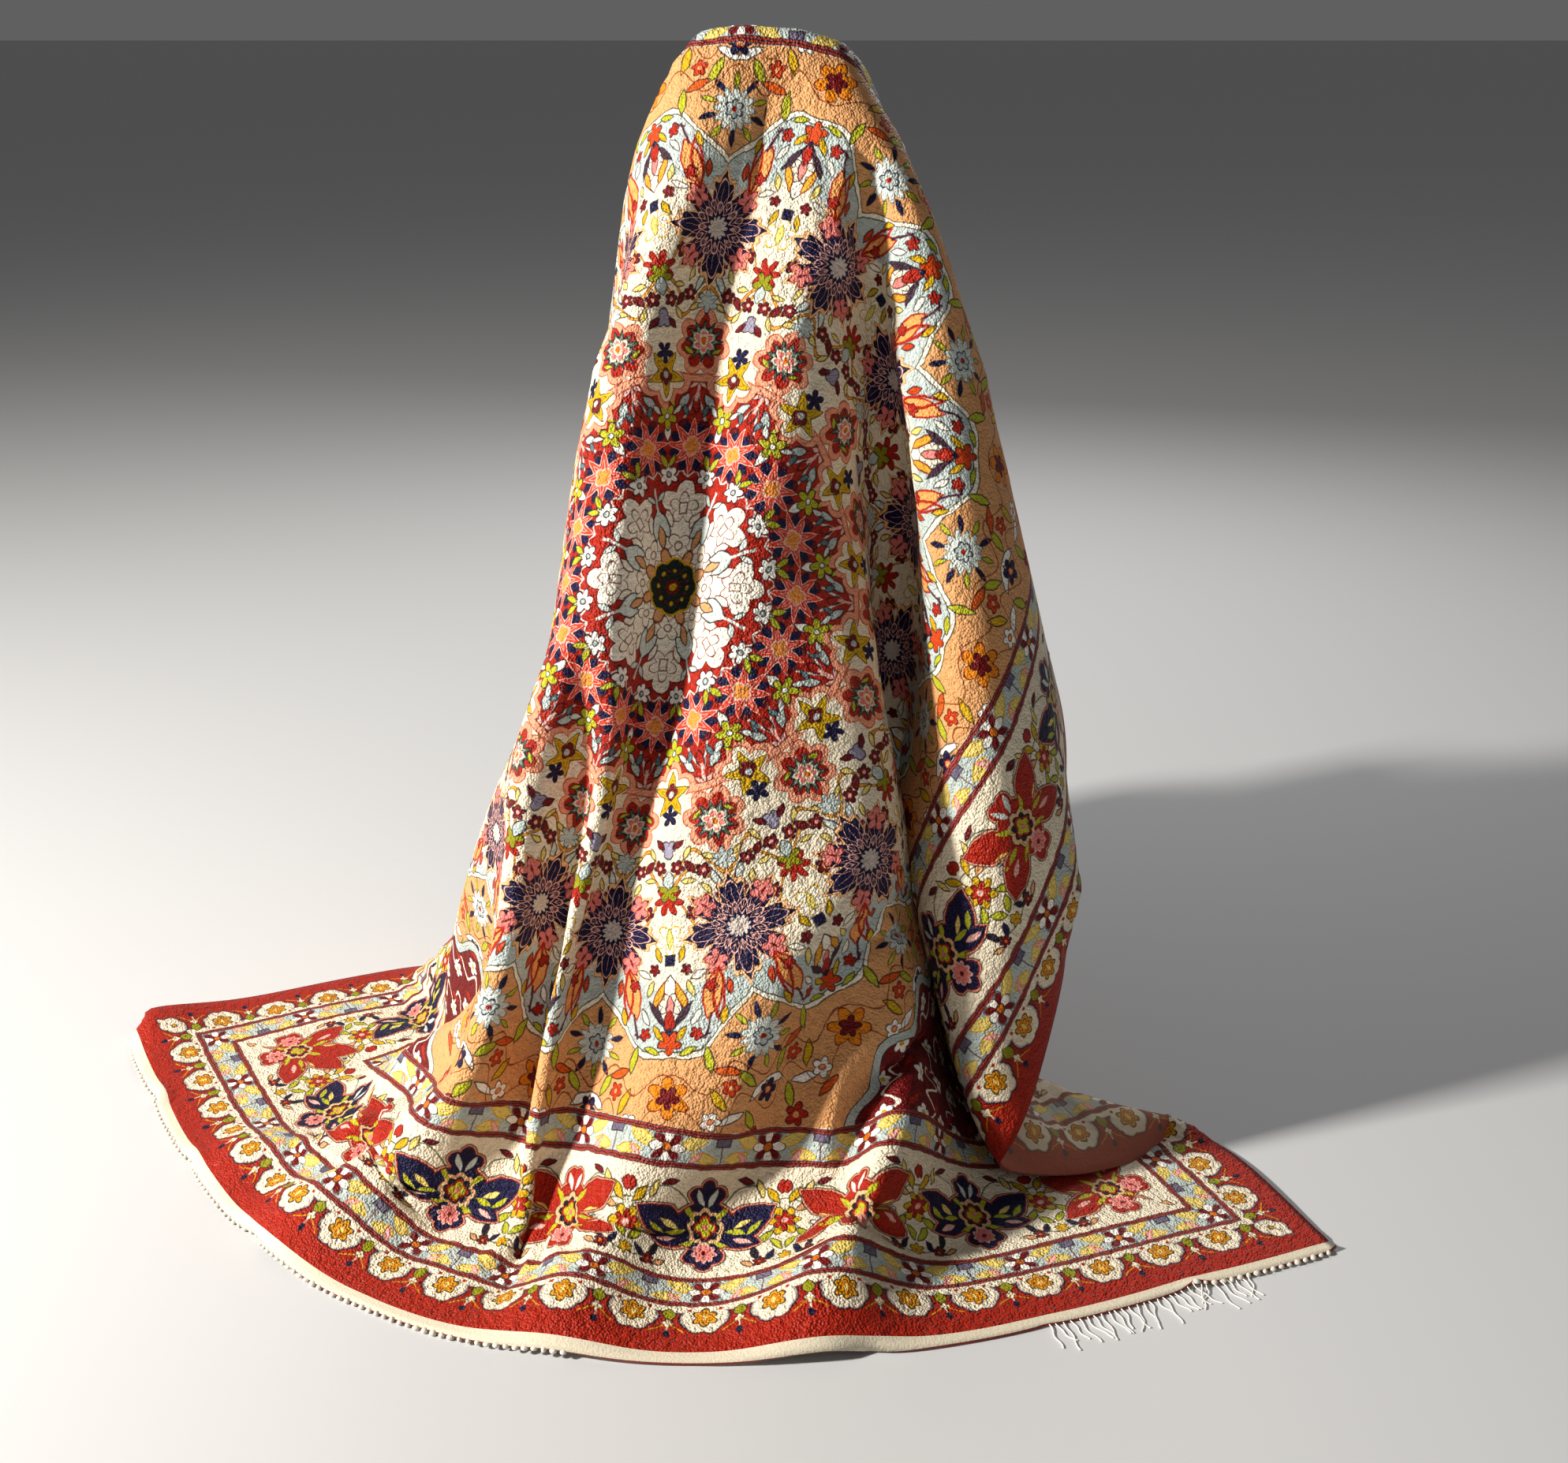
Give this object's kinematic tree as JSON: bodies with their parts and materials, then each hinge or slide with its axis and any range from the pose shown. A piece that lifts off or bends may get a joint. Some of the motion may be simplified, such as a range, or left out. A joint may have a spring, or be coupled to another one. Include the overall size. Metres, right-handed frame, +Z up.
{
  "type": "silk rug draped over a display stand",
  "caption": "Square silk rug hung over a hidden display stand: one crest, broad folds, a hanging corner and a front hem trailing on the floor.",
  "frame": {"origin": "on the floor, at the middle of the underside of the stand's foot", "axes": "+Z up, -Y towards the front of the drape, +X to the viewer's right"},
  "size_m": [1.6365, 1.2797, 1.3987],
  "materials": {
    "rug_silk": "knotted silk pile with a soft sheen",
    "fringe_yarn": "undyed warp yarn",
    "stand_wood": "dark stained, satin"
  },
  "bodies": {
    "root": {"rug": "rug_silk", "hem_fringe": "fringe_yarn", "stand_foot": "stand_wood", "stand_post": "stand_wood"}
  },
  "joints": []
}
